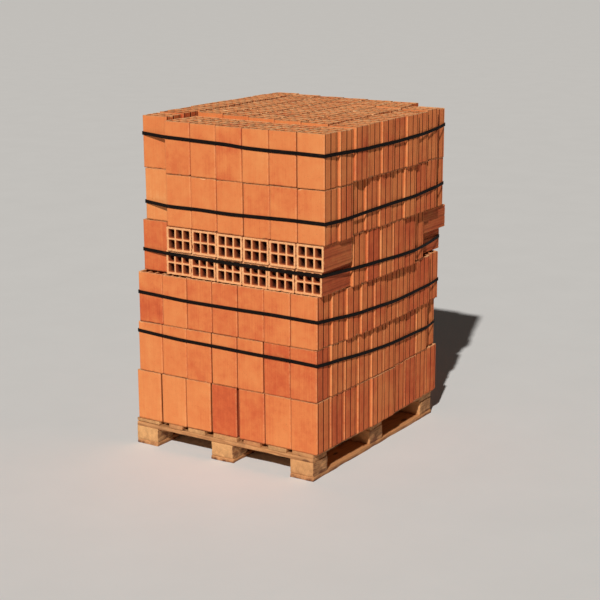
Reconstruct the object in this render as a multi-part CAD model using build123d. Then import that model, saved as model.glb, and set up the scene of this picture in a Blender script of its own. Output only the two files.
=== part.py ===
from build123d import *
import os

# Pallet of hollow clay bricks: six layers of bricks on a wooden block pallet,
# each of the upper five layers held by one flat strap.
# Frame: +X along the front face, to the right; +Y from front to back; +Z up.
# The tables below are measured from the near front corner of the top layer;
# the last step moves everything so that the origin is under the middle.

os.makedirs("parts", exist_ok=True)

# ---------------------------------------------------------------- brick
BRICK_L = 191.0          # extruded length, along the holes (nominal 190)
BRICK_W = 111.0          # wide side of the section (nominal 115)
BRICK_T = 90.0           # narrow side of the section
HOLES_W, HOLES_T = 3, 2  # holes across the wide and the narrow side
WALL = 8.5               # outer wall
WEB = 7.0                # wall between holes
CORNER_R = 4.0           # rounding of the long outer edges
GAP = 1.2                # joint between neighbouring bricks

# ---------------------------------------------------------------- stack
COLS, ROWS = 7, 10       # bricks along X and along Y
PITCH_X = BRICK_W + 0.8
PITCH_Y = BRICK_T + GAP
LEVEL_GAP = 0.3          # roughness between a brick and what it stands on

# ---------------------------------------------------------------- pallet
BOARD_T = 16.0           # thickness of every board
BLOCK_H = 54.0
PALLET_H = 3 * BOARD_T + BLOCK_H
PALLET_X0, PALLET_X1 = -851.0, -55.0
PALLET_Y0, PALLET_Y1 = 0.0, 906.0
BLOCK_X, BLOCK_Y = 100.0, 100.0
# left and right edge of each deck board
DECK = [(-851, -743), (-701, -634), (-607, -529), (-492, -386),
        (-358, -283), (-248, -171), (-145, -55)]

# ---------------------------------------------------------------- straps
STRAP_W = 13.0
STRAP_T = 1.0
STRAP_OFF = 0.4          # clear of the bricks that it goes round

# Right-hand edge of each row (front to back), and front edge of each column
# (left to right), of the upright layers, counted from the bottom.
LAYERS = {
    1: dict(dx=[-38, -37, -35, -31, -25, -27, -34, -35, -38, -40],
            dy=[1, 0, 1, 4, 0, 1, 0]),
    2: dict(dx=[-40, -34, -33, -31, -27, -28, -34, -37, -36, -52],
            dy=[0, 1, 0, 1, 0, 4, 0]),
    3: dict(dx=[-38, -31, -24, -19, -16, -20, -21, -25, -28, -39],
            dy=[1, 0, 1, 0, 1, 0, 1]),
    5: dict(dx=[-7, -1, -10, -4, 1, -2, 3, -2, -6, -24],
            dy=[22, 1, 0, 1, 0, 0, 1]),
    6: dict(dx=[-7, 1, 8, 6, 10, 6, 12, 3, -4, -21],
            dy=[23, 0, 1, 0, 0, 1, 0]),
}
# Extra joint width to the left of columns 2 to 7
COL_GAP = {
    1: [5, 1, 3, 12, 1, 0],
    2: [0, 0, 2, 2, 1, 2],
    3: [0, 0, 1, 1, 0, 0],
    5: [0, 0, 0, 3, 0, 0],
    6: [5, 0, 0, 0, 0, 3],
}
# Bricks are cut a little long or short: difference from the nominal length in
# each row, front to back, in column 1 and in column 7. Columns 2 to 6 lie
# between the two, and in the first two rows they are as column 7.
CUT_LEFT = [0.5, 1.6, 2.0, 2.1, 2.3, 2.3, 2.2, 2.0, 1.7, 1.6]
CUT_RIGHT = [0.2, 0.1, -0.9, -0.9, -0.6, -0.6, -0.9, -1.3, 0.0, -0.2]
# Fourth layer: at the front, columns 2 to 7 are two rows of lying bricks with
# their holes to the front, and at the back column 7 is one pair of them. All
# the others are upright.
MID_Y0 = BRICK_L + 13.0
MID_DX = [-15, -8, -5, -5, -8, -22, -54, -54]
MID_DY = [0, 1, 0, 1, 0, 0, 1]
LIE_UP_FRONT = dict(x=-12, y=[0, 2, 0, 1, 0, 2])
LIE_LOW_FRONT = dict(x=-24, y=[10, 9, 11, 10, 9, 10])
LIE_UP_BACK = dict(x=-30, y=[0, 0, 0, 0, 0, 1])
LIE_LOW_BACK = dict(x=-54, y=[0, 0, 0, 0, 0, 0])

# Height of each strap: at the left front corner, the near front corner and
# the far right corner of the stack
STRAPS = {
    6: (1189.0, 1165.0, 1175.0),
    5: (939.0, 934.0, 948.0),
    4: (761.0, 751.0, 731.0),
    3: (600.0, 586.0, 560.0),
    2: (451.0, 429.0, 385.0),
}


def section(w, d):
    """One brick's hollow section, its corner at the origin."""
    with BuildSketch() as s:
        with Locations((w / 2, d / 2)):
            RectangleRounded(w, d, CORNER_R)
        hw = (w - 2 * WALL - (HOLES_W - 1) * WEB) / HOLES_W
        hd = (d - 2 * WALL - (HOLES_T - 1) * WEB) / HOLES_T
        pts = [(WALL + hw / 2 + i * (hw + WEB), WALL + hd / 2 + j * (hd + WEB))
               for i in range(HOLES_W) for j in range(HOLES_T)]
        with Locations(*pts):
            Rectangle(hw, hd, mode=Mode.SUBTRACT)
    return s.sketch


SECTION = section(BRICK_W, BRICK_T)
UPRIGHT = {}             # cut length -> standing brick


def standing(length):
    if length not in UPRIGHT:
        UPRIGHT[length] = extrude(SECTION, length)
    return UPRIGHT[length]


# lying: holes along Y, wide side level, front end at y = 0, underside at z = 0
LYING = Pos(0, BRICK_L, 0) * Rot(90, 0, 0) * standing(BRICK_L)


def place_upright(dx, dy, gaps, rows, y0):
    """Bricks of one upright layer as (column, row, x, y).

    The columns are laid from the right; every brick stays clear of each
    brick of the column beside it that it overlaps in Y.
    """
    out, right = [], None
    for c in range(COLS - 1, -1, -1):
        col = []
        for r in range(rows):
            y = y0 + r * PITCH_Y + dy[c]
            if right is None:
                x = dx[r] - BRICK_W
            else:
                near = [b[2] for b in right
                        if b[3] < y + BRICK_T + 0.2 and y < b[3] + BRICK_T + 0.2]
                x = min(near) - (PITCH_X - BRICK_W) - gaps[c] - BRICK_W
            col.append((c + 1, r + 1, x, y))
        out += col
        right = col
    return out


placed = {}              # node name -> list of (x, y, z, sx, sy, sz)
layer_bricks = {}        # layer -> list of (x, y, z, sx, sy, sz)


def top_under(x, y, sx, sy, below):
    """Highest top among the bricks under this footprint, or the deck."""
    tops = [b[2] + b[5] for b in below
            if b[0] < x + sx and x < b[0] + b[3] and b[1] < y + sy and y < b[1] + b[4]]
    return (max(tops) if tops else PALLET_H) + LEVEL_GAP


def cut_length(c, r):
    a, b = CUT_LEFT[r - 1], CUT_RIGHT[r - 1]
    if c > 1 and r <= 2:
        return BRICK_L + b
    return round(BRICK_L + b + (a - b) * (COLS - c) / (COLS - 1), 1)


def stand(c, r, x, y, below):
    return (x, y, top_under(x, y, BRICK_W, BRICK_T, below), BRICK_W, BRICK_T, cut_length(c, r))


def lie(x, y, below):
    return (x, y, top_under(x, y, BRICK_W, BRICK_L, below), BRICK_W, BRICK_L, BRICK_T)


below = []
for n in range(1, 7):
    here = []
    if n != 4:
        t = LAYERS[n]
        for c, r, x, y in place_upright(t["dx"], t["dy"], COL_GAP[n] + [0], ROWS, 0.0):
            here.append(stand(c, r, x, y, below))
        placed[f"bricks_layer_{n}"] = list(here)
    else:
        mid = [(c, r + 2, x, y) for c, r, x, y in place_upright(MID_DX, MID_DY, [0] * 7, 8, MID_Y0)
               if c < 7 or r < 7]
        back = max(y for c, r, x, y in mid if c == 7) + BRICK_T + 1.5
        fronts = {}
        for node, t, y0, count in (("lying_bricks_front_lower", LIE_LOW_FRONT, 0.0, 6),
                                   ("lying_bricks_front_upper", LIE_UP_FRONT, 0.0, 6),
                                   ("lying_brick_back_lower", LIE_LOW_BACK, back, 1),
                                   ("lying_brick_back_upper", LIE_UP_BACK, back, 1)):
            under = fronts[node.replace("upper", "lower")] if "upper" in node else below
            fronts[node] = [lie(t["x"] - BRICK_W - i * PITCH_X, y0 + t["y"][5 - i], under)
                            for i in range(count)]
            placed[node] = fronts[node]
            here += fronts[node]
        # column 1 is upright at the front as well
        ups = [stand(c, r, x, y, below) for c, r, x, y in mid]
        first = [(x, y) for c, r, x, y in mid if c == 1]
        y_first = min(y for x, y in first)
        x_front = min(b[0] for k in ("lying_bricks_front_lower", "lying_bricks_front_upper")
                      for b in fronts[k]) - PITCH_X - 2.4
        for r in (2, 1):
            ups.append(stand(1, r, x_front, y_first - (3 - r) * PITCH_Y, below))
        placed["bricks_layer_4_upright"] = ups
        here += ups
    layer_bricks[n] = here
    below = here

for n, bricks in layer_bricks.items():
    print("layer", n, len(bricks), "bricks",
          "x %.1f %.1f" % (min(b[0] for b in bricks), max(b[0] + b[3] for b in bricks)),
          "y %.1f %.1f" % (min(b[1] for b in bricks), max(b[1] + b[4] for b in bricks)),
          "z %.1f %.1f" % (min(b[2] for b in bricks), max(b[2] + b[5] for b in bricks)))


# ---------------------------------------------------------------- shapes
def upright(x, y, z, length):
    return Pos(x, y, z) * standing(length)


def lying(x, y, z, length=BRICK_L):
    return Pos(x, y, z) * LYING


def box(x0, x1, y0, y1, z0, z1):
    return Pos((x0 + x1) / 2, (y0 + y1) / 2, (z0 + z1) / 2) * Box(x1 - x0, y1 - y0, z1 - z0)


nodes = {}
for name, bricks in placed.items():
    shape = lying if name.startswith("lying") else upright
    nodes[name] = [shape(*b[:3], b[5]) for b in bricks]

# the two lying bricks at the near front corner have nodes of their own
near = sorted(placed["lying_bricks_front_upper"], key=lambda b: -b[0])
nodes["lying_brick_near_corner"] = [lying(*near[0][:3])]
nodes["lying_brick_beside_corner"] = [lying(*near[1][:3])]
nodes["lying_bricks_front_upper"] = [lying(*b[:3]) for b in near[2:]]

# pallet: three bottom boards along Y, nine blocks, three cross boards along X,
# seven deck boards along Y
z1 = BOARD_T
z2 = z1 + BLOCK_H
z3 = z2 + BOARD_T
block_x = [PALLET_X0, (PALLET_X0 + PALLET_X1 - BLOCK_X) / 2, PALLET_X1 - BLOCK_X]
block_y = [PALLET_Y0, (PALLET_Y0 + PALLET_Y1 - BLOCK_Y) / 2, PALLET_Y1 - BLOCK_Y]
side = ["left", "middle", "right"]
depth = ["front", "middle", "back"]
for i, bx in enumerate(block_x):
    nodes[f"pallet_bottom_board_{side[i]}"] = [
        box(bx, bx + BLOCK_X, PALLET_Y0, PALLET_Y1, 0, z1)]
    for j, by in enumerate(block_y):
        nodes[f"pallet_block_{side[i]}_{depth[j]}"] = [
            box(bx, bx + BLOCK_X, by, by + BLOCK_Y, z1, z2)]
for j, by in enumerate(block_y):
    nodes[f"pallet_cross_board_{depth[j]}"] = [
        box(PALLET_X0, PALLET_X1, by, by + BLOCK_Y, z2, z3)]
for i, (a, b) in enumerate(DECK):
    nodes[f"pallet_deck_board_{i + 1}"] = [
        box(a, b, PALLET_Y0, PALLET_Y1, z3, PALLET_H)]


# straps: a tight band round the outermost bricks of a layer
def hull(points):
    pts = sorted(set(points))

    def half(seq):
        out = []
        for p in seq:
            while len(out) > 1 and ((out[-1][0] - out[-2][0]) * (p[1] - out[-2][1])
                                    - (out[-1][1] - out[-2][1]) * (p[0] - out[-2][0])) <= 1e-6:
                out.pop()
            out.append(p)
        return out[:-1]

    return half(pts) + half(pts[::-1])


def strap(n):
    corners = []
    # round the bricks that stand at the strap's own height
    for x, y, z, sx, sy, sz in layer_bricks[n]:
        if z > max(STRAPS[n]) or z + sz < min(STRAPS[n]):
            continue
        corners += [(x, y), (x + sx, y), (x + sx, y + sy), (x, y + sy)]
    line = Polyline(*hull(corners), close=True)
    inner = offset(make_face(line), STRAP_OFF, kind=Kind.ARC)
    outer = offset(make_face(line), STRAP_OFF + STRAP_T, kind=Kind.ARC)
    band = extrude(outer - inner, 1400.0)
    za, zb, zc = STRAPS[n]
    # plane through the three given heights
    xa = min(p[0] for p in corners)
    xb = max(p[0] for p in corners)
    yb = min(p[1] for p in corners)
    yc = max(p[1] for p in corners)
    sx = (zb - za) / (xb - xa)
    sy = (zc - zb) / (yc - yb)
    normal = Vector(-sx, -sy, 1.0).normalized()
    plane = Plane(origin=(xb, yb, zb), x_dir=(1, 0, sx), z_dir=(normal.X, normal.Y, normal.Z))
    slab = plane * Box(4000, 4000, STRAP_W)
    return band & slab


for n in STRAPS:
    s = strap(n)
    nodes[f"strap_layer_{n}"] = list(s.solids())

# ---------------------------------------------------------------- output
everything = [s for group in nodes.values() for s in group]
boxes = [s.bounding_box() for s in everything]
x0, x1 = min(b.min.X for b in boxes), max(b.max.X for b in boxes)
y0, y1 = min(b.min.Y for b in boxes), max(b.max.Y for b in boxes)
cx, cy = (x0 + x1) / 2, (y0 + y1) / 2
print("origin shift %.2f %.2f  size %.1f %.1f %.1f" % (
    -cx, -cy, x1 - x0, y1 - y0, max(b.max.Z for b in boxes)))
move = Pos(-cx, -cy, 0)
for name, group in nodes.items():
    shapes = [move * s for s in group]
    shape = shapes[0] if len(shapes) == 1 else Compound(children=shapes)
    export_step(shape, f"parts/{name}.step")
print(len(nodes), "nodes", len(everything), "solids")
near_xyz = [(b[0] - cx, b[1] - cy, b[2]) for b in near[:2]]
print("near corner lying bricks", [tuple(round(v, 2) for v in b) for b in near_xyz])
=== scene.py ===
import math

import bpy
import numpy as np
from mathutils import Matrix, Vector
from mathutils.geometry import delaunay_2d_cdt


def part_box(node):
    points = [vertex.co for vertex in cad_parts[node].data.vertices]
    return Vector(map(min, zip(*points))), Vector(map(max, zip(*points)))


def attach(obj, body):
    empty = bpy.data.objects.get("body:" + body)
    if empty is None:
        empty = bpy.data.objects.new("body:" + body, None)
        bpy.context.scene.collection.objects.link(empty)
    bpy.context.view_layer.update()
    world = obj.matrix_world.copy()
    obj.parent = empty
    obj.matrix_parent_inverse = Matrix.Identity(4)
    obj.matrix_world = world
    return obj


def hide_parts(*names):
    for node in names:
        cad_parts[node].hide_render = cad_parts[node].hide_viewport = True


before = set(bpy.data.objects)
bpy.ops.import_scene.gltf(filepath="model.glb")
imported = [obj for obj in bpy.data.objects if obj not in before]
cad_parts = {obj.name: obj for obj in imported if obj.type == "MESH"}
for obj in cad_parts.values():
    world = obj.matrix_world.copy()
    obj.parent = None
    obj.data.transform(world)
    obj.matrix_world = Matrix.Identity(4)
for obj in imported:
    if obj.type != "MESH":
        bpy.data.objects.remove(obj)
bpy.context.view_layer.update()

scene = bpy.context.scene

# ------------------------------------------------------------------ camera
YAW, PITCH, ROLL = math.radians(32.61), math.radians(-14.05), math.radians(-0.30)
fwd = Vector((-math.sin(YAW) * math.cos(PITCH), math.cos(YAW) * math.cos(PITCH), math.sin(PITCH)))
right = Vector((math.cos(YAW), math.sin(YAW), 0.0))
up = right.cross(fwd)
r2 = right * math.cos(ROLL) + up * math.sin(ROLL)
u2 = up * math.cos(ROLL) - right * math.sin(ROLL)
cam_data = bpy.data.cameras.new("camera")
cam_data.sensor_width = 36.0
cam_data.lens = 84.48
cam_data.clip_end = 400.0
cam = bpy.data.objects.new("camera", cam_data)
scene.collection.objects.link(cam)
m = Matrix.Identity(4)
for i in range(3):
    m[i][0], m[i][1], m[i][2] = r2[i], u2[i], -fwd[i]
m[0][3], m[1][3], m[2][3] = 2.8538, -4.44475, 1.840
cam.matrix_world = m
scene.camera = cam

# ------------------------------------------------------------------ light
sun_data = bpy.data.lights.new("sun", "SUN")
sun_data.energy = 3.4
sun_data.angle = math.radians(1.4)
sun_data.color = (1.0, 0.965, 0.91)
sun = bpy.data.objects.new("sun", sun_data)
scene.collection.objects.link(sun)
to_sun = Vector((0.262, -0.745, 0.612)).normalized()
sun.rotation_euler = to_sun.to_track_quat("Z", "Y").to_euler()

world = bpy.data.worlds.new("world")
world.use_nodes = True
bg = world.node_tree.nodes["Background"]
bg.inputs["Color"].default_value = (1.0, 0.88, 0.78, 1.0)
bg.inputs["Strength"].default_value = 0.05
scene.world = world
scene.view_settings.view_transform = "Standard"
scene.view_settings.look = "None"


# ------------------------------------------------------------------ node helper
class Nodes:
    def __init__(self, name):
        self.mat = bpy.data.materials.new(name)
        self.mat.use_nodes = True
        self.t = self.mat.node_tree
        self.bsdf = self.t.nodes["Principled BSDF"]

    def put(self, socket, value):
        if value is None:
            return
        if hasattr(value, "links") and hasattr(value, "node"):
            self.t.links.new(value, socket)
        elif isinstance(value, (tuple, list)) and len(value) == 3 and socket.type == "RGBA":
            socket.default_value = (*value, 1.0)
        else:
            socket.default_value = value

    def attr(self, name, out="Fac"):
        n = self.t.nodes.new("ShaderNodeAttribute")
        n.attribute_type = "GEOMETRY"
        n.attribute_name = name
        return n.outputs[out]

    def math(self, op, a, b=None, c=None, clamp=False):
        n = self.t.nodes.new("ShaderNodeMath")
        n.operation = op
        n.use_clamp = clamp
        self.put(n.inputs[0], a)
        self.put(n.inputs[1], b)
        self.put(n.inputs[2], c)
        return n.outputs[0]

    def vec(self, op, a, b=None):
        n = self.t.nodes.new("ShaderNodeVectorMath")
        n.operation = op
        self.put(n.inputs[0], a)
        self.put(n.inputs[1], b)
        return n.outputs["Value"] if op in ("LENGTH", "DISTANCE", "DOT_PRODUCT") else n.outputs["Vector"]

    def noise(self, v, scale=1.0, detail=2.0, rough=0.5, distort=0.0):
        n = self.t.nodes.new("ShaderNodeTexNoise")
        n.inputs["Scale"].default_value = scale
        n.inputs["Detail"].default_value = detail
        n.inputs["Roughness"].default_value = rough
        n.inputs["Distortion"].default_value = distort
        self.put(n.inputs["Vector"], v)
        return n.outputs["Fac"]

    def voronoi(self, v, scale=1.0, feature="F1"):
        n = self.t.nodes.new("ShaderNodeTexVoronoi")
        n.feature = feature
        n.inputs["Scale"].default_value = scale
        self.put(n.inputs["Vector"], v)
        return n.outputs["Distance"]

    def ramp(self, fac, stops, interp="LINEAR"):
        n = self.t.nodes.new("ShaderNodeValToRGB")
        cr = n.color_ramp
        cr.interpolation = interp
        while len(cr.elements) < len(stops):
            cr.elements.new(0.5)
        for e, (p, c) in zip(cr.elements, stops):
            e.position = p
            e.color = (*c, 1.0) if isinstance(c, (tuple, list)) else (c, c, c, 1.0)
        self.put(n.inputs["Fac"], fac)
        return n.outputs["Color"]

    def mix(self, fac, a, b, blend="MIX"):
        n = self.t.nodes.new("ShaderNodeMix")
        n.data_type = "RGBA"
        n.blend_type = blend
        self.put(n.inputs[0], fac)
        self.put(n.inputs[6], a)
        self.put(n.inputs[7], b)
        return n.outputs[2]

    def remap(self, v, a, b, c=0.0, d=1.0):
        n = self.t.nodes.new("ShaderNodeMapRange")
        self.put(n.inputs["Value"], v)
        n.inputs["From Min"].default_value = a
        n.inputs["From Max"].default_value = b
        n.inputs["To Min"].default_value = c
        n.inputs["To Max"].default_value = d
        return n.outputs["Result"]

    def bump(self, height, distance, strength=1.0, normal=None):
        n = self.t.nodes.new("ShaderNodeBump")
        n.inputs["Strength"].default_value = strength
        n.inputs["Distance"].default_value = distance
        self.put(n.inputs["Height"], height)
        self.put(n.inputs["Normal"], normal)
        return n.outputs["Normal"]


# ------------------------------------------------------------------ materials
def clay_material():
    k = Nodes("fired_clay")
    bl = k.attr("bl", "Vector")
    tone, flash, edge, endf, hole_foot_shade, groove_shade = (k.attr(n) for n in ("tone", "flash", "edge", "endf", "hole_foot_shade", "groove_shade"))
    broad = k.noise(bl, 7.5, 2.0, 0.5)
    blot = k.noise(bl, 34.0, 4.0, 0.62)
    streak = k.noise(k.vec("MULTIPLY", bl, (330.0, 330.0, 4.2)), 1.0, 3.0, 0.6)
    grain = k.noise(bl, 950.0, 3.0, 0.6)
    pits = k.voronoi(k.vec("MULTIPLY", bl, (230.0, 230.0, 90.0)), 1.0)
    fac = k.math("MULTIPLY_ADD", k.math("SUBTRACT", broad, 0.5), flash, tone)
    fac = k.math("MULTIPLY_ADD", k.math("SUBTRACT", blot, 0.5), 0.42, fac)
    fac = k.math("MULTIPLY_ADD", k.math("SUBTRACT", streak, 0.5), 0.34, fac)
    fac = k.math("MULTIPLY_ADD", k.math("SUBTRACT", grain, 0.5), 0.30, fac)
    body = k.ramp(fac, [(0.0, (0.40, 0.062, 0.022)), (0.25, (0.58, 0.112, 0.036)), (0.5, (0.70, 0.205, 0.063)),
                        (0.75, (0.75, 0.265, 0.085)), (1.0, (0.82, 0.37, 0.14))])
    # small dark pits and dust in the skin
    pit = k.remap(pits, 0.06, 0.17, 0.62, 1.0)
    body = k.mix(1.0, body, pit, "MULTIPLY")
    # painted shade: the floors of the extrusion grooves are painted nearly black, as if in shadow, and the lying
    # bricks' narrow sides take some of it all over
    body = k.mix(k.math("MULTIPLY", groove_shade, 0.92), body, (0.085, 0.014, 0.006))
    # painted shade: the walls of the holes are painted a dark brown away from their mouths, where they lie in shadow
    body = k.mix(k.math("MULTIPLY", hole_foot_shade, 0.97), body, (0.055, 0.009, 0.004))
    # cut ends: paler, sandy, torn
    torn = k.noise(bl, 260.0, 4.0, 0.7)
    sandy = k.ramp(k.math("MULTIPLY_ADD", k.math("SUBTRACT", tone, 0.5), 0.5, torn),
                   [(0.25, (0.60, 0.195, 0.075)), (0.46, (0.93, 0.44, 0.18)), (0.68, (0.98, 0.62, 0.34))])
    col = k.mix(k.math("MULTIPLY", endf, 0.90), body, sandy)
    # worn and broken edges show the paler body
    worn = k.math("MULTIPLY", edge, k.remap(k.noise(bl, 120.0, 3.0, 0.6), 0.38, 0.62), clamp=True)
    col = k.mix(k.math("MULTIPLY", worn, 0.7), col, (0.84, 0.45, 0.22))
    k.put(k.bsdf.inputs["Base Color"], col)
    k.put(k.bsdf.inputs["Roughness"], k.remap(grain, 0.3, 0.7, 0.82, 0.97))
    k.bsdf.inputs["Specular IOR Level"].default_value = 0.25
    h = k.math("MULTIPLY_ADD", streak, 0.6, k.math("MULTIPLY", grain, 0.35))
    n1 = k.bump(h, 0.0006)
    h2 = k.math("MULTIPLY", torn, endf)
    n2 = k.bump(h2, 0.0016, 1.0, n1)
    k.put(k.bsdf.inputs["Normal"], n2)
    return k.mat


def clay_plain_material():
    """The bricks in the heart of the stack, seen only down holes and gaps."""
    k = Nodes("fired_clay_inside")
    g = k.t.nodes.new("ShaderNodeNewGeometry").outputs["Position"]
    n = k.noise(k.vec("MULTIPLY", g, (60.0, 60.0, 9.0)), 1.0, 3.0, 0.6)
    k.put(k.bsdf.inputs["Base Color"], k.ramp(n, [(0.3, (0.42, 0.10, 0.036)), (0.7, (0.68, 0.23, 0.085))]))
    k.put(k.bsdf.inputs["Normal"], k.bump(n, 0.0008))
    k.bsdf.inputs["Roughness"].default_value = 0.92
    k.bsdf.inputs["Specular IOR Level"].default_value = 0.25
    return k.mat


def wood_material():
    k = Nodes("sawn_softwood")
    wl = k.attr("wl", "Vector")
    wt, dirt_and_shade, red = k.attr("wt"), k.attr("dirt_and_shade"), k.attr("red")
    sep = k.t.nodes.new("ShaderNodeSeparateXYZ")
    k.put(sep.inputs[0], wl)
    flat = k.t.nodes.new("ShaderNodeCombineXYZ")
    k.put(flat.inputs[1], sep.outputs[1])
    k.put(flat.inputs[2], sep.outputs[2])
    rad = k.vec("LENGTH", flat.outputs[0])
    warp = k.noise(k.vec("MULTIPLY", wl, (3.5, 16.0, 16.0)), 1.0, 2.0, 0.5)
    rad = k.math("MULTIPLY_ADD", k.math("SUBTRACT", warp, 0.5), 0.011, rad)
    ring = k.math("FRACT", k.math("MULTIPLY", rad, 215.0))
    lines = k.ramp(ring, [(0.0, 0.16), (0.12, 0.0), (0.62, 0.28), (0.93, 1.0), (1.0, 0.16)])
    fibre = k.noise(k.vec("MULTIPLY", wl, (9.0, 520.0, 520.0)), 1.0, 3.0, 0.65)
    broad = k.noise(k.vec("MULTIPLY", wl, (4.0, 30.0, 30.0)), 1.0, 3.0, 0.6)
    knots = k.voronoi(k.vec("MULTIPLY", wl, (5.0, 13.0, 13.0)), 1.0)
    pale = k.mix(red, (0.86, 0.50, 0.215), (0.66, 0.25, 0.095))
    dark = k.mix(red, (0.56, 0.25, 0.080), (0.36, 0.105, 0.038))
    col = k.mix(k.math("MULTIPLY", lines, 0.72), pale, dark)
    col = k.mix(k.remap(fibre, 0.35, 0.7, 0.0, 0.35), col, (0.42, 0.17, 0.055))
    col = k.mix(k.remap(broad, 0.45, 0.72, 0.0, 0.45), col, (0.52, 0.25, 0.10))
    col = k.mix(k.remap(knots, 0.115, 0.075, 0.0, 0.85), col, (0.16, 0.070, 0.030))
    shade = k.math("MULTIPLY_ADD", wt, 0.5, 0.80)
    col = k.mix(1.0, col, shade, "MULTIPLY")
    # darker grime, plus painted shade on the blocks' right sides
    grime_and_shade = k.math("MULTIPLY", dirt_and_shade, k.remap(k.noise(k.vec("MULTIPLY", wl, (18.0, 50.0, 50.0)), 1.0, 4.0, 0.65), 0.3, 0.62), clamp=True)
    col = k.mix(grime_and_shade, col, (0.13, 0.038, 0.016))
    k.put(k.bsdf.inputs["Base Color"], col)
    k.put(k.bsdf.inputs["Roughness"], k.remap(fibre, 0.3, 0.7, 0.68, 0.9))
    k.bsdf.inputs["Specular IOR Level"].default_value = 0.3
    saw = k.math("SINE", k.math("MULTIPLY_ADD", sep.outputs[0], 2600.0, k.math("MULTIPLY", warp, 9.0)))
    h = k.math("MULTIPLY_ADD", fibre, 1.0, k.math("MULTIPLY", lines, 0.4))
    h = k.math("MULTIPLY_ADD", saw, 0.10, h)
    k.put(k.bsdf.inputs["Normal"], k.bump(h, 0.0007))
    return k.mat


def nail_material():
    k = Nodes("nail_steel")
    g = k.t.nodes.new("ShaderNodeNewGeometry").outputs["Position"]
    n = k.noise(g, 420.0, 3.0, 0.6)
    k.put(k.bsdf.inputs["Base Color"], k.ramp(n, [(0.35, (0.10, 0.075, 0.06)), (0.6, (0.24, 0.21, 0.19))]))
    k.put(k.bsdf.inputs["Roughness"], k.remap(n, 0.3, 0.7, 0.35, 0.7))
    k.bsdf.inputs["Metallic"].default_value = 1.0
    return k.mat


def strap_material():
    k = Nodes("packing_strap")
    sl = k.attr("sl", "Vector")
    sep = k.t.nodes.new("ShaderNodeSeparateXYZ")
    k.put(sep.inputs[0], sl)
    a = k.math("SINE", k.math("MULTIPLY", k.math("ADD", sep.outputs[0], sep.outputs[1]), 2450.0))
    b = k.math("SINE", k.math("MULTIPLY", k.math("SUBTRACT", sep.outputs[0], sep.outputs[1]), 2450.0))
    emboss = k.math("MULTIPLY", a, b)
    scuff = k.noise(k.vec("MULTIPLY", sl, (14.0, 420.0, 1.0)), 1.0, 3.0, 0.6)
    dust = k.noise(k.vec("MULTIPLY", sl, (60.0, 160.0, 1.0)), 1.0, 4.0, 0.65)
    col = k.ramp(scuff, [(0.35, (0.0035, 0.0022, 0.0018)), (0.62, (0.008, 0.005, 0.004)), (0.8, (0.022, 0.013, 0.010))])
    col = k.mix(k.remap(dust, 0.56, 0.76, 0.0, 0.5), col, (0.10, 0.035, 0.018))
    k.put(k.bsdf.inputs["Base Color"], col)
    k.put(k.bsdf.inputs["Roughness"], k.remap(scuff, 0.3, 0.7, 0.55, 0.78))
    k.bsdf.inputs["Specular IOR Level"].default_value = 0.10
    k.put(k.bsdf.inputs["Normal"], k.bump(k.math("MULTIPLY_ADD", emboss, 0.5, scuff), 0.00018))
    return k.mat


CLAY = clay_material()
CLAY_IN = clay_plain_material()
WOOD = wood_material()
NAIL = nail_material()
STRAP = strap_material()


# ------------------------------------------------------------------ mesh helper
def build(name, verts, quads, tris, attrs, mat, angle, node_names):
    me = bpy.data.meshes.new(name)
    quads = np.asarray(quads, dtype=np.int64).reshape(-1, 4)
    tris = np.asarray(tris, dtype=np.int64).reshape(-1, 3)
    nq, nt = len(quads), len(tris)
    me.vertices.add(len(verts))
    me.vertices.foreach_set("co", np.asarray(verts, dtype=np.float32).ravel())
    me.loops.add(4 * nq + 3 * nt)
    me.loops.foreach_set("vertex_index", np.concatenate([quads.ravel(), tris.ravel()]).astype(np.int32))
    me.polygons.add(nq + nt)
    me.polygons.foreach_set("loop_start", np.concatenate([np.arange(nq) * 4, 4 * nq + np.arange(nt) * 3]).astype(np.int32))
    me.update(calc_edges=True)
    me.validate()
    for key, arr in attrs.items():
        arr = np.asarray(arr, dtype=np.float32)
        if arr.ndim == 2:
            a = me.attributes.new(key, "FLOAT_VECTOR", "POINT")
            a.data.foreach_set("vector", arr.ravel())
        else:
            a = me.attributes.new(key, "FLOAT", "POINT")
            a.data.foreach_set("value", arr)
    me.materials.append(mat)
    if angle:
        me.shade_smooth()
        me.set_sharp_from_angle(angle=math.radians(angle))
    ob = bpy.data.objects.new(name, me)
    scene.collection.objects.link(ob)
    if node_names:
        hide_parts(*node_names)
    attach(ob, "root")
    return ob


def solids(node):
    """Lowest and highest corner of each separate solid in a CAD node."""
    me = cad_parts[node].data
    v = np.empty(len(me.vertices) * 3, dtype=np.float32)
    me.vertices.foreach_get("co", v)
    v = v.reshape(-1, 3).astype(np.float64)
    e = np.empty(len(me.edges) * 2, dtype=np.int32)
    me.edges.foreach_get("vertices", e)
    e = e.reshape(-1, 2)
    _, inv = np.unique(np.round(v, 5), axis=0, return_inverse=True)
    inv = inv.ravel()
    parent = list(range(int(inv.max()) + 1))

    def find(i):
        while parent[i] != i:
            parent[i] = parent[parent[i]]
            i = parent[i]
        return i

    for a, b in inv[e]:
        ra, rb = find(int(a)), find(int(b))
        if ra != rb:
            parent[ra] = rb
    root = np.array([find(int(i)) for i in inv])
    out = []
    for r in np.unique(root):
        p = v[root == r]
        out.append((p.min(0), p.max(0)))
    return out


# ------------------------------------------------------------------ bricks
# millimetres in a brick's own frame: u across the wide side, v across the
# narrow side, w along the holes
W, T, L = 111.0, 90.0, 191.0
WALL, WEB = 8.5, 7.0
HW, HT = (W - 2 * WALL - 2 * WEB) / 3, (T - 2 * WALL - WEB) / 2
R = 4.8


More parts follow.
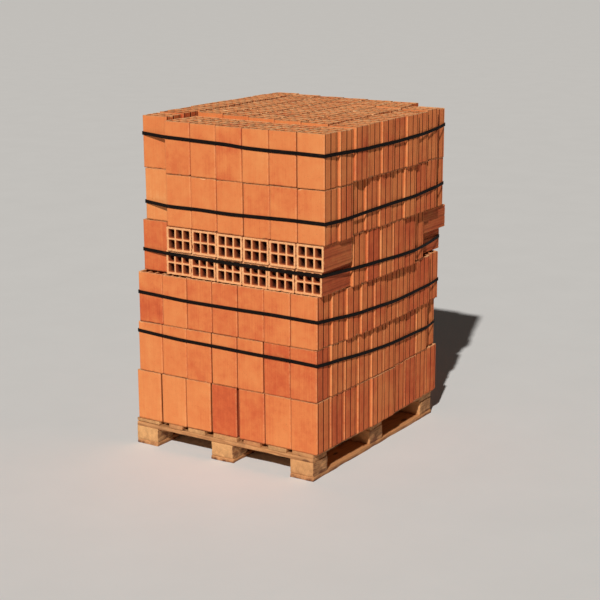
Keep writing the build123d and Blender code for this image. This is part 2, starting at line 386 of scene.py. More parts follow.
def narrow_profile(rng):
    pts = [(R, 0.0), (6.9, 0.0), (8.2, 2.3), (13.8, 2.2), (15.2, 0.05)]
    for n, (a, b) in enumerate(((15.2, 40.2), (50.4, 75.4))):
        for c in (a + (b - a) * (0.31 + rng.uniform(-0.05, 0.05)), a + (b - a) * (0.69 + rng.uniform(-0.05, 0.05))):
            d = rng.uniform(0.6, 1.15)
            pts += [(c - 1.3, 0.05), (c - 0.5, d), (c + 0.4, d), (c + 1.3, 0.0)]
        if n == 0:
            pts += [(40.2, 0.0), (41.5, 2.2), (49.0, 2.3), (50.4, 0.0)]
    pts += [(75.4, 0.05), (76.8, 2.3), (82.0, 2.3), (83.2, 0.0), (T - R, 0.0)]
    return pts


def wide_profile(rng):
    pts = []
    n = 14
    for i in range(n + 1):
        u = R + (W - 2 * R) * i / n
        d = 0.0
        for h in range(3):
            c = WALL + HW / 2 + h * (HW + WEB)
            d = max(d, 0.45 * max(0.0, 1 - ((u - c) / (HW * 0.62)) ** 2))
        pts.append((u, d + rng.uniform(0.0, 0.08)))
    return pts


def rounded(u0, u1, v0, v1, r, seg):
    out = []
    for cu, cv, a0 in ((u1 - r, v0 + r, -90), (u1 - r, v1 - r, 0), (u0 + r, v1 - r, 90), (u0 + r, v0 + r, 180)):
        for i in range(seg + 1):
            a = math.radians(a0 + 90.0 * i / seg)
            out.append((cu + r * math.cos(a), cv + r * math.sin(a)))
    return np.array(out)


def inside(pt, poly):
    x, y = pt
    hit = False
    for (x0, y0), (x1, y1) in zip(poly, np.roll(poly, -1, axis=0)):
        if (y0 > y) != (y1 > y) and x < x0 + (y - y0) / (y1 - y0) * (x1 - x0):
            hit = not hit
    return hit


def cap_triangles(outer, holes):
    pts = [Vector((float(p[0]), float(p[1]))) for p in np.vstack([outer] + holes)]
    edges, s = [], 0
    for loop in [outer] + holes:
        n = len(loop)
        edges += [(s + i, s + (i + 1) % n) for i in range(n)]
        s += n
    vs, _, faces, orig, _, _ = delaunay_2d_cdt(pts, edges, [], 0, 1e-6)
    back = [o[0] for o in orig]
    out = []
    for f in faces:
        c = sum((vs[i] for i in f), Vector((0.0, 0.0))) / len(f)
        if inside(c, outer) and not any(inside(c, h) for h in holes):
            idx = [back[i] for i in f]
            a, b, d = (pts[i] for i in idx)
            if (b - a).cross(d - a) < 0:
                idx.reverse()
            out.append(idx)
    return np.array(out)


def hole_boxes():
    for j in range(2):
        for i in range(3):
            u0, v0 = WALL + i * (HW + WEB), WALL + j * (HT + WEB)
            yield u0, u0 + HW, v0, v0 + HT


def detailed_template(seed):
    """Vertices (u, v, w) of one brick with its rings, and its faces."""
    rng = np.random.default_rng(seed)
    out, nrm = [], []

    def add(p, n):
        out.append(p)
        nrm.append(n)

    def arc(cu, cv, a0):
        for a in (22.5, 45.0, 67.5):
            t = math.radians(a0 + a)
            add((cu + R * math.cos(t), cv + R * math.sin(t)), (math.cos(t), math.sin(t)))

    for u, d in wide_profile(rng):
        add((u, d), (0, -1))
    arc(W - R, R, -90)
    for v, d in narrow_profile(rng):
        add((W - d, v), (1, 0))
    arc(W - R, T - R, 0)
    for u, d in wide_profile(rng):
        add((W - u, T - d), (0, 1))
    arc(R, T - R, 90)
    for v, d in narrow_profile(rng):
        add((d, T - v), (-1, 0))
    arc(R, R, 180)
    outer = np.array(out)
    normal = np.array(nrm, dtype=float)
    n = len(outer)
    levels = np.array([0.0, 1.3, 6.0, L / 3, 2 * L / 3, L - 6.0, L - 1.3, L])
    verts = [np.column_stack([outer, np.full(n, w)]) for w in levels]
    ring = [np.full(n, i) for i in range(len(levels))]
    nn = [normal] * len(levels)
    quads = []
    for k in range(len(levels) - 1):
        a, b = k * n, (k + 1) * n
        i = np.arange(n)
        j = (i + 1) % n
        quads.append(np.column_stack([a + i, a + j, b + j, b + i]))
    base = len(levels) * n
    kinds = [np.zeros(len(levels) * n)]
    holes, first, last = [], [], []
    for u0, u1, v0, v1 in hole_boxes():
        c = np.array([(u0 + u1) / 2, (v0 + v1) / 2])
        loop = rounded(u0, u1, v0, v1, 3.0, 2)
        wide = c + (loop - c) * (1 + 1.1 / (HW / 2))
        m_ = len(loop)
        hl = [(0.0, wide, 0), (1.6, loop, 0.5), (24.0, loop, 3), (L - 24.0, loop, 3), (L - 1.6, loop, 6.5), (L, wide, 7)]
        for w, lp, rg in hl:
            verts.append(np.column_stack([lp, np.full(m_, w)]))
            ring.append(np.full(m_, float(rg)))
            nn.append((lp - c) / np.linalg.norm(lp - c, axis=1)[:, None])
        kinds.append(np.ones(6 * m_))
        for k in range(5):
            a, b = base + k * m_, base + (k + 1) * m_
            i = np.arange(m_)
            j = (i + 1) % m_
            quads.append(np.column_stack([a + j, a + i, b + i, b + j]))
        holes.append(wide)
        first.append(base + np.arange(m_))
        last.append(base + 5 * m_ + np.arange(m_))
        base += 6 * m_
    # how deep each point of the outline lies below the narrow faces, from 0 to 1
    side = np.abs(normal[:, 0]) > 0.99
    dip = np.where(side, np.clip(np.minimum(outer[:, 0], W - outer[:, 0]) / 2.2, 0, 1), 0.0)
    depth = np.concatenate([np.tile(dip, len(levels)), np.zeros(base - len(levels) * n)])
    tri = cap_triangles(outer, holes)
    low = np.concatenate([np.arange(n)] + first)
    high = np.concatenate([np.arange(n) + (len(levels) - 1) * n] + last)
    tris = np.vstack([low[tri][:, ::-1], high[tri]])
    return {"v": np.vstack(verts), "q": np.vstack(quads), "t": tris, "ring": np.concatenate(ring),
            "n": np.vstack(nn), "hole": np.concatenate(kinds), "count": n, "groove_shade": depth,
            "s": np.tile(np.arange(n) / n, len(levels))}


def simple_template():
    c = 4.0
    outer = np.array([(c, 0), (W - c, 0), (W, c), (W, T - c), (W - c, T), (c, T), (0, T - c), (0, c)], dtype=float)
    n = len(outer)
    verts = [np.column_stack([outer, np.full(n, w)]) for w in (0.0, L)]
    i = np.arange(n)
    quads = [np.column_stack([i, (i + 1) % n, n + (i + 1) % n, n + i])]
    base, holes, first, last = 2 * n, [], [], []
    for u0, u1, v0, v1 in hole_boxes():
        loop = np.array([(u0, v0), (u1, v0), (u1, v1), (u0, v1)])
        verts += [np.column_stack([loop, np.full(4, w)]) for w in (0.0, L)]
        i = np.arange(4)
        quads.append(np.column_stack([base + (i + 1) % 4, base + i, base + 4 + i, base + 4 + (i + 1) % 4]))
        holes.append(loop)
        first.append(base + i)
        last.append(base + 4 + i)
        base += 8
    tri = cap_triangles(outer, holes)
    low = np.concatenate([np.arange(n)] + first)
    high = np.concatenate([np.arange(n) + n] + last)
    return {"v": np.vstack(verts), "q": np.vstack(quads), "t": np.vstack([low[tri][:, ::-1], high[tri]])}


TEMPLATES = [detailed_template(11 + i) for i in range(5)]
SIMPLE = simple_template()


def fresh_brick(rng, tmpl, relief=1.0):
    """One detailed brick in its own frame, with its own wear. Stays inside W x T x L."""
    p = tmpl["v"].copy()
    ring, nrm, hole = tmpl["ring"], tmpl["n"], tmpl["hole"] > 0.5
    side = (np.abs(nrm[:, 0]) > 0.99) & ~hole
    p[side, 0] = np.where(nrm[side, 0] < 0, p[side, 0] * relief, W - (W - p[side, 0]) * relief)
    n = tmpl["count"]
    edge = np.zeros(len(p))
    endf = ((ring == 0) | (ring == 7)).astype(float)
    edge[(ring == 0) | (ring == 7)] = 1.0
    edge[(ring == 1) | (ring == 6)] = 0.30
    # long edges a little worn too
    corner = (np.abs(nrm[:, 0]) > 0.1) & (np.abs(nrm[:, 1]) > 0.1) & ~hole
    edge[corner] = np.maximum(edge[corner], 0.38)
    # hand-cut, torn mouths of the holes
    mouth = hole & ((ring == 0) | (ring == 7))
    k = int(mouth.sum())
    jit = rng.normal(0, 0.45, k)
    p[mouth, 0] += nrm[mouth, 0] * jit
    p[mouth, 1] += nrm[mouth, 1] * jit
    # rough ends
    for end, sgn in ((0, 1.0), (7, -1.0)):
        sel = ring == end
        c = p[sel]
        tilt = rng.normal(0, 0.55, 2)
        plane = tilt[0] * (c[:, 0] / W - 0.5) + tilt[1] * (c[:, 1] / T - 0.5)
        rough = rng.gamma(1.4, 0.16, sel.sum())
        d = plane - plane.min() + rough + rng.uniform(0.05, 0.45)
        p[sel, 2] += sgn * d
        nxt = ring == (1 if end == 0 else 6)
        c = p[nxt]
        plane2 = tilt[0] * (c[:, 0] / W - 0.5) + tilt[1] * (c[:, 1] / T - 0.5)
        p[nxt, 2] += sgn * (plane2 - plane.min() + 0.35 + rng.uniform(-0.35, 0.35, nxt.sum()))
        # broken arrises: a few bites out of the rim
        rim = np.arange(n) + (0 if end == 0 else 7 * n)
        rim2 = np.arange(n) + (n if end == 0 else 6 * n)
        rim3 = np.arange(n) + (2 * n if end == 0 else 5 * n)
        xy = tmpl["v"][:n, :2]
        for _ in range(rng.poisson(3.2)):
            at = xy[rng.integers(n)]
            size = rng.uniform(3.0, 9.0) * (1.7 if rng.random() < 0.22 else 1.0)
            dist = np.linalg.norm(xy - at, axis=1)
            f = np.clip(1 - (dist / size) ** 2, 0, 1) * rng.uniform(0.6, 1.0, n)
            deep, tall = size * rng.uniform(0.12, 0.26), size * rng.uniform(0.22, 0.5)
            p[rim, 0] -= nrm[:n, 0] * f * deep
            p[rim, 1] -= nrm[:n, 1] * f * deep
            p[rim, 2] += sgn * f * tall * 0.75
            p[rim2, 0] -= nrm[:n, 0] * f * deep * 0.45
            p[rim2, 1] -= nrm[:n, 1] * f * deep * 0.45
            p[rim2, 2] += sgn * f * tall
            edge[rim2] = np.maximum(edge[rim2], np.clip(f * 1.6, 0, 1))
            lift = np.maximum(0.0, f * tall - 3.6)
            p[rim3, 2] += sgn * lift
    # drying bow and shrinkage
    f = np.clip(p[:, 2] / L, 0, 1)
    bow = np.sin(f * math.pi)
    b = rng.normal(0, 0.22, 2)
    body = (ring > 0) & (ring < 7)
    sh = rng.uniform(0.25, 0.75, 2)
    p[:, 0] = (p[:, 0] - W / 2) * (1 - 2 * sh[0] / W) + W / 2
    p[:, 1] = (p[:, 1] - T / 2) * (1 - 2 * sh[1] / T) + T / 2
    p[body, 0] += np.clip(b[0], -0.25, 0.25) * bow[body]
    p[body, 1] += np.clip(b[1], -0.25, 0.25) * bow[body]
    twist = rng.normal(0, 0.0016) * (f - 0.5)
    du, dv = p[:, 0] - W / 2, p[:, 1] - T / 2
    p[:, 0] -= twist * dv
    p[:, 1] += twist * du
    np.clip(p[:, 0], 0.02, W - 0.02, out=p[:, 0])
    np.clip(p[:, 1], 0.02, T - 0.02, out=p[:, 1])
    np.clip(p[:, 2], 0.0, L, out=p[:, 2])
    # painted shade deep inside the holes
    hole_foot_shade = np.where(hole & (ring == 3), 1.0, 0.0)
    return p, edge, endf, hole_foot_shade


def turn(p, how):
    """The four ways round that keep the section in place."""
    q = p.copy()
    if how in (1, 3):
        q[:, 0] = W - q[:, 0]
    if how in (1, 2):
        q[:, 1] = T - q[:, 1]
    if how in (2, 3):
        q[:, 2] = L - q[:, 2]
    return q


def place(q, lo, hi, lying):
    """Brick frame to the shared frame, in metres, filling the CAD brick's box."""
    if lying:
        # u along X, w along Y (from the back to the front), v along Z
        x = lo[0] + q[:, 0] / W * (hi[0] - lo[0])
        y = hi[1] - q[:, 2] / L * (hi[1] - lo[1])
        z = lo[2] + q[:, 1] / T * (hi[2] - lo[2])
    else:
        x = lo[0] + q[:, 0] / W * (hi[0] - lo[0])
        y = lo[1] + q[:, 1] / T * (hi[1] - lo[1])
        z = lo[2] + q[:, 2] / L * (hi[2] - lo[2])
    return np.column_stack([x, y, z])


def neighbour(b, boxes, axis, sign):
    lo, hi = b
    oth = [a for a in range(3) if a != axis]
    for l2, h2 in boxes:
        if l2 is lo:
            continue
        gap = (l2[axis] - hi[axis]) if sign > 0 else (lo[axis] - h2[axis])
        if not -0.004 < gap < 0.030:
            continue
        if all(min(hi[a], h2[a]) - max(lo[a], l2[a]) > 0.35 * (hi[a] - lo[a]) for a in oth):
            return True
    return False


# nodes that make up each layer, from the bottom
LYING = ["lying_bricks_front_lower", "lying_bricks_front_upper", "lying_brick_near_corner",
         "lying_brick_beside_corner", "lying_brick_back_lower", "lying_brick_back_upper"]
LAYER_NODES = {1: ["bricks_layer_1"], 2: ["bricks_layer_2"], 3: ["bricks_layer_3"],
               4: ["bricks_layer_4_upright"] + LYING, 5: ["bricks_layer_5"], 6: ["bricks_layer_6"]}

# a few bricks of the front row are clearly redder or paler than the rest:
# (layer, column from the left, tone, flash)
ODD_ONES = {(2, 6): (0.30, 0.3), (1, 4): (0.24, 0.3), (6, 4): (0.42, 1.2), (5, 1): (0.74, 0.3),
            (3, 1): (0.42, 1.0), (1, 5): (0.36, 0.4), (2, 7): (0.38, 0.4), (6, 7): (0.66, 0.4),
            (1, 1): (0.68, 0.3), (1, 2): (0.66, 0.4)}

layer_boxes = {}
for layer, names in LAYER_NODES.items():
    layer_boxes[layer] = {n: solids(n) for n in names}

LAYER_TONE = {1: 0.50, 2: 0.52, 3: 0.50, 4: 0.48, 5: 0.50, 6: 0.54}

for layer, per_node in layer_boxes.items():
    everything = [b for bl in per_node.values() for b in bl]
    ymin = min(b[0][1] for b in everything)
    for node, boxes in per_node.items():
        V, Q, TR = [], [], []
        A = {k: [] for k in ("bl", "tone", "flash", "edge", "endf", "hole_foot_shade", "groove_shade")}
        SV, SQ, ST = [], [], []
        nv = ns = 0
        for bi, (lo, hi) in enumerate(boxes):
            rng = np.random.default_rng([layer, bi, len(node)])
            lying = (hi[1] - lo[1]) > 0.15
            hidden = (not lying and layer != 6
                      and all(neighbour((lo, hi), everything, a, s) for a in (0, 1) for s in (-1, 1)))
            if hidden:
                q = SIMPLE["v"].copy()
                q[:, 2] = np.clip(q[:, 2], 0.25, L - 0.25)
                SV.append(place(q, lo, hi, lying))
                SQ.append(SIMPLE["q"] + ns)
                ST.append(SIMPLE["t"] + ns)
                ns += len(q)
                continue
            tmpl = TEMPLATES[rng.integers(len(TEMPLATES))]
            p, edge, endf, hole_foot_shade = fresh_brick(rng, tmpl, 0.35 if lying else 1.0)
            q = turn(p, int(rng.integers(4)))
            pos = place(q, lo, hi, lying)
            V.append(pos)
            Q.append(tmpl["q"] + nv)
            TR.append(tmpl["t"] + nv)
            nv += len(q)
            tone = LAYER_TONE[layer] + rng.normal(0, 0.06) - (0.12 if lying else 0.0)
            flash = rng.uniform(0.25, 0.75)
            if abs(lo[1] - ymin) < 0.05 and not lying:
                col = 1 + int(round((lo[0] - min(b[0][0] for b in everything)) / 0.1118))
                if (layer, col) in ODD_ONES:
                    tone, flash = ODD_ONES[(layer, col)]
            off = rng.uniform(0, 40.0, 3)
            A["bl"].append(q / 1000.0 + off)
            # painted shade: the narrow sides, which face left and right, are painted a darker red than the faces
            # towards the front, and the lying bricks are also a darker brown all over
            narrow = (np.abs(tmpl["n"][:, 0]) > 0.99) & (tmpl["hole"] < 0.5) & (endf == 0)
            A["tone"].append(np.where(narrow, tone - 0.11, tone))
            A["flash"].append(np.full(len(q), flash))
            if not lying:
                # painted shade: the holes are painted a little darker right below their mouths, and a dark band is
                # painted along the foot of a standing brick, where the joint lies in shadow
                hole_foot_shade = np.where((tmpl["hole"] > 0.5) & ((tmpl["ring"] == 0.5) | (tmpl["ring"] == 6.5)), 0.12, hole_foot_shade)
                foot = (tmpl["hole"] < 0.5) & (q[:, 2] < 4.0) & (q[:, 2] < L / 2)
                foot_shade = rng.uniform(0.35, 1.0) * rng.uniform(0.45, 1.0, len(q))
                hole_foot_shade = np.where(foot, foot_shade, hole_foot_shade)
                edge = np.where(foot, 0.0, edge)
                endf = np.where(foot, 0.0, endf)
            A["edge"].append(edge)
            A["endf"].append(endf)
            A["hole_foot_shade"].append(hole_foot_shade)
            deep = np.where(endf > 0, 0.0, tmpl["groove_shade"])
            # on the lying bricks the narrow sides take painted shade all over, a little more in their grooves
            A["groove_shade"].append(np.where(narrow, 0.30 + 0.12 * deep, 0.0) if lying else deep)
        short = node.replace("bricks_", "").replace("brick_", "")
        if V:
            build("bricks_" + short, np.vstack(V), np.vstack(Q), np.vstack(TR),
                  {k: np.concatenate(v) for k, v in A.items()}, CLAY, 34, [node])
        if SV:
            build("bricks_" + short + "_inner", np.vstack(SV), np.vstack(SQ), np.vstack(ST), {}, CLAY_IN, 0, [node])


# ------------------------------------------------------------------ pallet
def wave_noise(p, seed, freq):
    """Smooth noise in about -1..1 from a few crossed waves."""
    rng = np.random.default_rng(seed)
    out = np.zeros(len(p))
    for _ in range(7):
        d = rng.normal(size=3)
        d /= np.linalg.norm(d)
        out += np.sin(p @ d * freq * rng.uniform(0.6, 1.7) * 2 * math.pi + rng.uniform(0, 6.283))
    return out / 3.2


def cuts(length, step, r):
    n = max(2, int(round((length - 2 * r) / step)))
    return np.concatenate([[0.0, 0.32 * r], np.linspace(r, length - r, n + 1), [length - 0.32 * r, length]])


def box_grid(size, steps, r):
    """A closed rounded box from 0 to size, as shared vertices and quads."""
    lines = [cuts(size[a], steps[a], r) for a in range(3)]
    shape = [len(x) for x in lines]
    index, verts, quads = {}, [], []

    def vid(i, j, k):
        key = (i, j, k)
        if key not in index:
            index[key] = len(verts)
            verts.append((lines[0][i], lines[1][j], lines[2][k]))
        return index[key]

    for axis in range(3):
        b, c = (axis + 1) % 3, (axis + 2) % 3
        for side in (0, shape[axis] - 1):
            for i in range(shape[b] - 1):
                for j in range(shape[c] - 1):
                    corner = []
                    for di, dj in ((0, 0), (1, 0), (1, 1), (0, 1)):
                        ijk = [0, 0, 0]
                        ijk[axis], ijk[b], ijk[c] = side, i + di, j + dj
                        corner.append(vid(*ijk))
                    quads.append(corner if side else corner[::-1])
    p = np.array(verts)
    size = np.array(size)
    core = np.clip(p, r, size - r)
    d = p - core
    ln = np.linalg.norm(d, axis=1)
    out = np.where(ln[:, None] > 1e-9, core + d / np.maximum(ln, 1e-9)[:, None] * r, p)
    return out, np.array(quads), d, ln


def timber(name, node, along, seed, red=0.0, tone=0.5, dirt_and_shade=(0.25, 0.25), pith=None, wane=0.0016, step=0.02, right=0.0):
    """One rough-sawn board or block in its CAD box, its grain along X (0) or Y (1)."""
    lo, hi = (np.array(c, dtype=float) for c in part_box(node))
    size = hi - lo
    rng = np.random.default_rng(seed)
    across = 1 - along
    thick = size[2]
    steps = [0, 0, 0]
    steps[along], steps[across], steps[2] = step, 0.014 if thick < 0.03 else 0.012, 0.007 if thick < 0.03 else 0.009
    r = 0.0013 if thick < 0.03 else 0.0022
    p, quads, d, ln = box_grid(size, steps, r)
    rel = p / size
    # sawn faces wander a little; arrises are splintered; ends are cut slightly off square
    on = np.array([(np.abs(p[:, a]) < r + 1e-6) | (np.abs(p[:, a] - size[a]) < r + 1e-6) for a in range(3)]).T
    sgn = np.sign(p - size / 2)
    arris = on.sum(1) >= 2
    q = p.copy()
    for a in range(3):
        amp = {along: 0.0016, across: 0.0011, 2: 0.00035}[a]
        inn = np.abs(wave_noise(p, seed * 7 + a, 6.0 if a != along else 22.0)) * amp + rng.uniform(0, 0.00022, len(p))
        bite = np.clip(wave_noise(p * np.where(np.arange(3) == along, 1.0, 0.3), seed * 11 + a, 9.0) - 0.35, 0, 1) * wane * 2.2
        bite += np.clip(rng.normal(-0.9, 0.8, len(p)), 0, 1.5) * wane * 0.5
        push = np.where(on[:, a], inn + np.where(arris, bite, 0.0), 0.0)
        if a == 2:
            push *= 0.7
        q[:, a] -= sgn[:, a] * push
    # ends off square
    skew = rng.normal(0, 0.0011, 2)
    e = on[:, along]
    cut = skew[0] * (rel[:, across] - 0.5) + skew[1] * (rel[:, 2] - 0.5)
    q[e, along] -= sgn[e, along] * (cut[e] - cut[e].min())
    q = np.clip(q, 0.0, size)
    pos = q + lo
    if pith is None:
        pith = (rng.uniform(-0.06, size[across] + 0.06), rng.choice([-1.0, 1.0]) * rng.uniform(0.03, 0.09))
    k1, k2 = rng.normal(0, 0.018, 2)
    aa = q[:, along]
    wl = np.column_stack([aa + seed * 1.7, q[:, across] - pith[0] + k1 * aa, q[:, 2] - pith[1] + k2 * aa])
    dirt_shade_v = np.full(len(q), dirt_and_shade[0]) + (dirt_and_shade[1] - dirt_and_shade[0]) * (1 - rel[:, 2])
    dirt_shade_v = np.where(on[:, along], dirt_shade_v + 0.05, dirt_shade_v)
    # painted shade: the right sides of the blocks, which sit in shadow under the overhang, are painted darker through
    # this field (right)
    dirt_shade_v = np.where(rel[:, across] > 0.985, dirt_shade_v + right, dirt_shade_v)
    build(name, pos, quads, [], {"wl": wl, "wt": np.full(len(q), tone), "dirt_and_shade": dirt_shade_v, "red": np.full(len(q), red)},
          WOOD, 50, [node])
    return lo, hi


deck, cross, bottom = [], [], []
REDS = [0.10, 0.65, 0.20, 0.35, 0.75, 0.15, 0.45]
for i in range(7):
    deck.append(timber(f"deck_board_{i + 1}", f"pallet_deck_board_{i + 1}", 1, 31 + i, red=REDS[i],
                       tone=0.45 + 0.12 * math.sin(i * 2.3), dirt_and_shade=(0.35, 0.35)))
for i, s in enumerate(("front", "middle", "back")):
    cross.append(timber(f"cross_board_{s}", f"pallet_cross_board_{s}", 0, 51 + i, red=(0.45, 0.3, 0.2)[i],
                        tone=(0.42, 0.4, 0.5)[i], dirt_and_shade=(0.45, 0.5)))
for i, s in enumerate(("left", "middle", "right")):
    bottom.append(timber(f"bottom_board_{s}", f"pallet_bottom_board_{s}", 1, 61 + i, red=(0.45, 0.5, 0.6)[i],
                         tone=(0.45, 0.5, 0.45)[i], dirt_and_shade=(0.15, 1.2)))
    for j, d_ in enumerate(("front", "middle", "back")):
        # the blocks take painted shade on their right sides (right=0.55)
        timber(f"block_{s}_{d_}", f"pallet_block_{s}_{d_}", 1, 71 + 3 * i + j, red=(0.05, 0.12, 0.3)[i],
               tone=0.55 + 0.1 * math.sin(i * 3 + j * 2.2), dirt_and_shade=(0.16, 0.42),
               pith=((0.055, 0.030), (0.050, 0.016), (0.02, -0.02))[i], wane=0.0014, step=0.012, right=0.55)


# nails: flat heads driven just below the faces they hold
def nails():
    V, Q, TR = [], [], []
    n = 0

    def head(x, y, z, up_, rng):
        nonlocal n
        r0, t = 0.0042, 0.0011
        a = np.arange(10) / 10 * 2 * math.pi
        rows = []
        for rr, h in ((0.0016, -0.004), (0.0018, -t), (r0 * 0.96, -t), (r0, -t * 0.4), (r0 * 0.9, 0.0)):
            rows.append(np.column_stack([x + rr * np.cos(a), y + rr * np.sin(a), np.full(10, z + up_ * h)]))
        pts = np.vstack(rows + [np.array([[x, y, z]]), np.array([[x, y, z - up_ * 0.004]])])
        i = np.arange(10)
        j = (i + 1) % 10
        for k in range(4):
            quad = np.column_stack([n + k * 10 + i, n + k * 10 + j, n + (k + 1) * 10 + j, n + (k + 1) * 10 + i])
            Q.append(quad if up_ > 0 else quad[:, ::-1])
        top = np.column_stack([n + 40 + i, n + 40 + j, np.full(10, n + 50)])
        low = np.column_stack([n + j, n + i, np.full(10, n + 51)])
        TR.append(top if up_ > 0 else top[:, ::-1])
        TR.append(low if up_ > 0 else low[:, ::-1])
        V.append(pts)
        n += len(pts)

    rng = np.random.default_rng(5)
    for lo, hi in deck:
        for clo, chi in cross:
            for f in ((0.25, 0.75) if hi[0] - lo[0] > 0.08 else (0.3, 0.7)):
                head(lo[0] + f * (hi[0] - lo[0]) + rng.normal(0, 0.003), (clo[1] + chi[1]) / 2 + rng.normal(0, 0.012),
                     hi[2] - 0.0001, 1.0, rng)
    for lo, hi in bottom:
        for y in (lo[1] + 0.05, (lo[1] + hi[1]) / 2, hi[1] - 0.05):
            for f in (0.27, 0.73):
                head(lo[0] + f * (hi[0] - lo[0]) + rng.normal(0, 0.003), y + rng.normal(0, 0.010), lo[2] + 0.0001, -1.0, rng)
    build("pallet_nails", np.vstack(V), np.vstack(Q), np.vstack(TR), {}, NAIL, 40, [])


nails()


# ------------------------------------------------------------------ straps
def hull(points):
    pts = sorted(set(map(tuple, np.round(points, 6))))

    def half(seq):
        out = []
        for p in seq:
            while len(out) >= 2 and ((out[-1][0] - out[-2][0]) * (p[1] - out[-2][1])
                                     - (out[-1][1] - out[-2][1]) * (p[0] - out[-2][0])) <= 1e-12:
                out.pop()
            out.append(p)
        return out[:-1]

    return np.array(half(pts) + half(pts[::-1]))


# how far each strap hangs off the straight line from corner to corner, in mm:
# along the front from the left, then along the right side from the front
SAG = {
    6: ([(0, 2), (.2, 1), (.5, 0), (.58, -4), (.7, -3.5), (.85, -1), (1, 0)],
        [(0, 0), (.1, -1), (.26, -5.5), (.4, -6), (.5, -8), (.62, -5), (.75, -5), (.85, -2), (1, 1)]),
    5: ([(0, 2), (.12, -1), (.2, -3), (.34, -1.5), (.5, -4.5), (.66, -2), (.82, 1), (1, 0.5)],
        [(0, 0), (.15, -4), (.3, -2), (.5, -1.5), (.66, -3.5), (.85, 1), (1, 0)]),
    4: ([(0, 0), (.3, -2), (.6, -3), (.85, -2), (1, 0)],
        [(0, 0), (.2, -4), (.4, -5.5), (.55, -9), (.7, -9.5), (.85, -9), (1, -4)]),
    3: ([(0, 0), (.12, -2), (.26, -5.5), (.5, -3.5), (.75, 1), (1, 1)],
        [(0, 0), (.11, -3.5), (.26, -10.5), (.42, -10), (.58, -14), (.74, -9), (.89, -4), (1, 1)]),
    2: ([(0, 0), (.12, -3), (.26, -5.5), (.5, -2.5), (.66, -2), (.82, 1.5), (1, 1.5)],
        [(0, 0), (.15, -2), (.26, -7), (.36, -9.5), (.5, -11.5), (.6, -11.5), (.75, -8), (.9, -5.5), (1, 1)]),
}


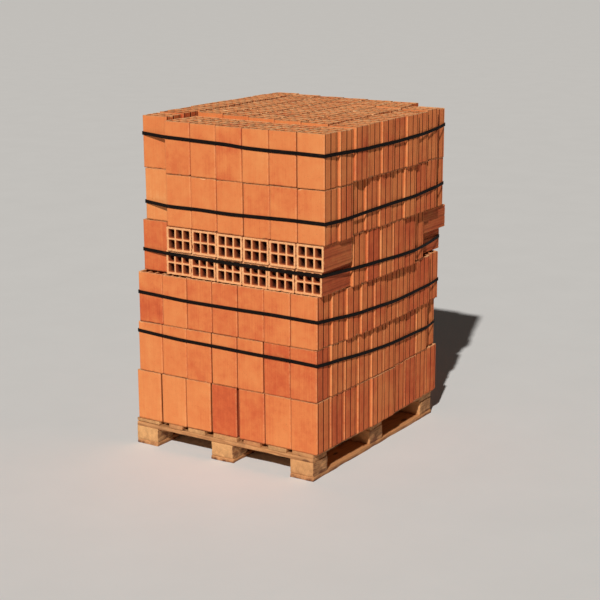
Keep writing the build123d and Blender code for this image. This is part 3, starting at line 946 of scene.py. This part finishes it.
def strap(layer):
    node = f"strap_layer_{layer}"
    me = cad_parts[node].data
    v = np.empty(len(me.vertices) * 3, dtype=np.float32)
    me.vertices.foreach_get("co", v)
    v = v.reshape(-1, 3).astype(np.float64)
    A = np.column_stack([v[:, 0], v[:, 1], np.ones(len(v))])
    pl = np.linalg.lstsq(A, v[:, 2], rcond=None)[0]
    loop = hull(v[:, :2])
    # start in the middle of the back, and walk round in steps of about 12 mm
    pts = []
    for a, b in zip(loop, np.roll(loop, -1, axis=0)):
        n = max(1, int(math.ceil(np.linalg.norm(b - a) / 0.012)))
        pts += [a + (b - a) * i / n for i in range(n)]
    pts = np.array(pts)
    x0, y0 = pts.min(0)
    x1, y1 = pts.max(0)
    start = int(np.argmin(np.abs(pts[:, 0] - (x0 + 0.62 * (x1 - x0))) + 10 * (pts[:, 1] < (y0 + y1) / 2)))
    pts = np.roll(pts, -start, axis=0)
    nxt, prv = np.roll(pts, -1, axis=0), np.roll(pts, 1, axis=0)
    tan = nxt - prv
    tan /= np.linalg.norm(tan, axis=1)[:, None]
    out = np.column_stack([tan[:, 1], -tan[:, 0]])
    z = pts @ pl[:2] + pl[2]
    fx, fy = (pts[:, 0] - x0) / (x1 - x0), (pts[:, 1] - y0) / (y1 - y0)
    fr, ri = (np.array(s, dtype=float) for s in SAG[layer])
    sag = np.zeros(len(pts))
    dist = np.column_stack([pts[:, 1] - y0, x1 - pts[:, 0], y1 - pts[:, 1], pts[:, 0] - x0])
    side = dist.argmin(1)
    sag = np.select([side == 0, side == 1, side == 2, side == 3],
                    [np.interp(fx, fr[:, 0], fr[:, 1]), np.interp(fy, ri[:, 0], ri[:, 1]),
                     np.interp(fx, [0, .3, .7, 1], [fr[0, 1], -4, -5, ri[-1, 1]]),
                     np.interp(fy, [0, .35, .7, 1], [fr[0, 1], -5, -3, fr[0, 1]])])
    ker = np.array([1, 2, 3, 2, 1.0])
    ker /= ker.sum()
    for _ in range(2):
        sag = np.convolve(np.concatenate([sag[-2:], sag, sag[:2]]), ker, "valid")
    z = z + sag / 1000.0
    s = np.concatenate([[0], np.cumsum(np.linalg.norm(np.diff(pts, axis=0), axis=1))])
    rng = np.random.default_rng(200 + layer)
    ph = rng.uniform(0, 6.283, 3)
    lean = 0.00016 * np.sin(s * 9.0 + ph[0]) + 0.00010 * np.sin(s * 31.0 + ph[1])
    # the band runs once round and laps over itself for 45 mm, where it is welded
    total = s[-1] + np.linalg.norm(pts[0] - pts[-1])
    lap = int(np.searchsorted(s, 0.045))
    order = np.concatenate([np.arange(len(pts)), np.arange(lap + 1)])
    depth = np.concatenate([np.full(len(pts), 0.00008), np.full(lap + 1, 0.00008)])
    # the second turn of the lap lies underneath: the band dives by its own thickness just before it
    under = 0.00058
    ramp_len = 4
    depth[len(pts):] = under
    for i in range(ramp_len):
        depth[len(pts) - 1 - i] = under * (1 - (i + 1) / (ramp_len + 1)) + 0.00008
    thick = 0.00050
    prof = [(0.00012, -0.0064), (0.0, -0.0058), (0.0, 0.0), (0.0, 0.0058), (0.00012, 0.0064),
            (thick - 0.00012, 0.0064), (thick, 0.0058), (thick, -0.0058), (thick - 0.00012, -0.0064)]
    m_ = len(prof)
    V, SL = [], []
    sl = np.concatenate([s, total + s[:lap + 1]])
    for k, i in enumerate(order):
        for dd, h in prof:
            # the upper or lower edge tips in and out by a hair
            off = depth[k] + dd + abs(lean[i]) * (0.5 + 0.5 * np.sign(lean[i]) * h / 0.0064)
            V.append((pts[i, 0] - out[i, 0] * off, pts[i, 1] - out[i, 1] * off, z[i] + h))
            SL.append((sl[k], h, 0.0))
    quads = []
    n = len(order)
    for k in range(n - 1):
        for a in range(m_):
            b = (a + 1) % m_
            quads.append((k * m_ + b, k * m_ + a, (k + 1) * m_ + a, (k + 1) * m_ + b))
    tris = [(i, i + 1, 0) for i in range(1, m_ - 1)]
    e = (n - 1) * m_
    tris += [(e, e + i + 1, e + i) for i in range(1, m_ - 1)]
    V, quads, tris = np.array(V), np.array(quads), np.array(tris)
    build(f"strap_{layer}", V, quads, tris, {"sl": np.array(SL)}, STRAP, 40, [node])


for layer in (2, 3, 4, 5, 6):
    strap(layer)

# ------------------------------------------------------------------ floor
floor_mat = Nodes("floor")
gp = floor_mat.t.nodes.new("ShaderNodeNewGeometry").outputs["Position"]
fn = floor_mat.noise(gp, 3.0, 3.0, 0.6)
floor_mat.put(floor_mat.bsdf.inputs["Base Color"], floor_mat.ramp(fn, [(0.3, (0.775, 0.780, 0.785)), (0.7, (0.795, 0.800, 0.805))]))
floor_mat.bsdf.inputs["Roughness"].default_value = 0.9
bpy.ops.mesh.primitive_plane_add(size=160.0, location=(0, 0, 0))
floor = bpy.context.active_object
floor.name = "floor"
floor.data.materials.append(floor_mat.mat)
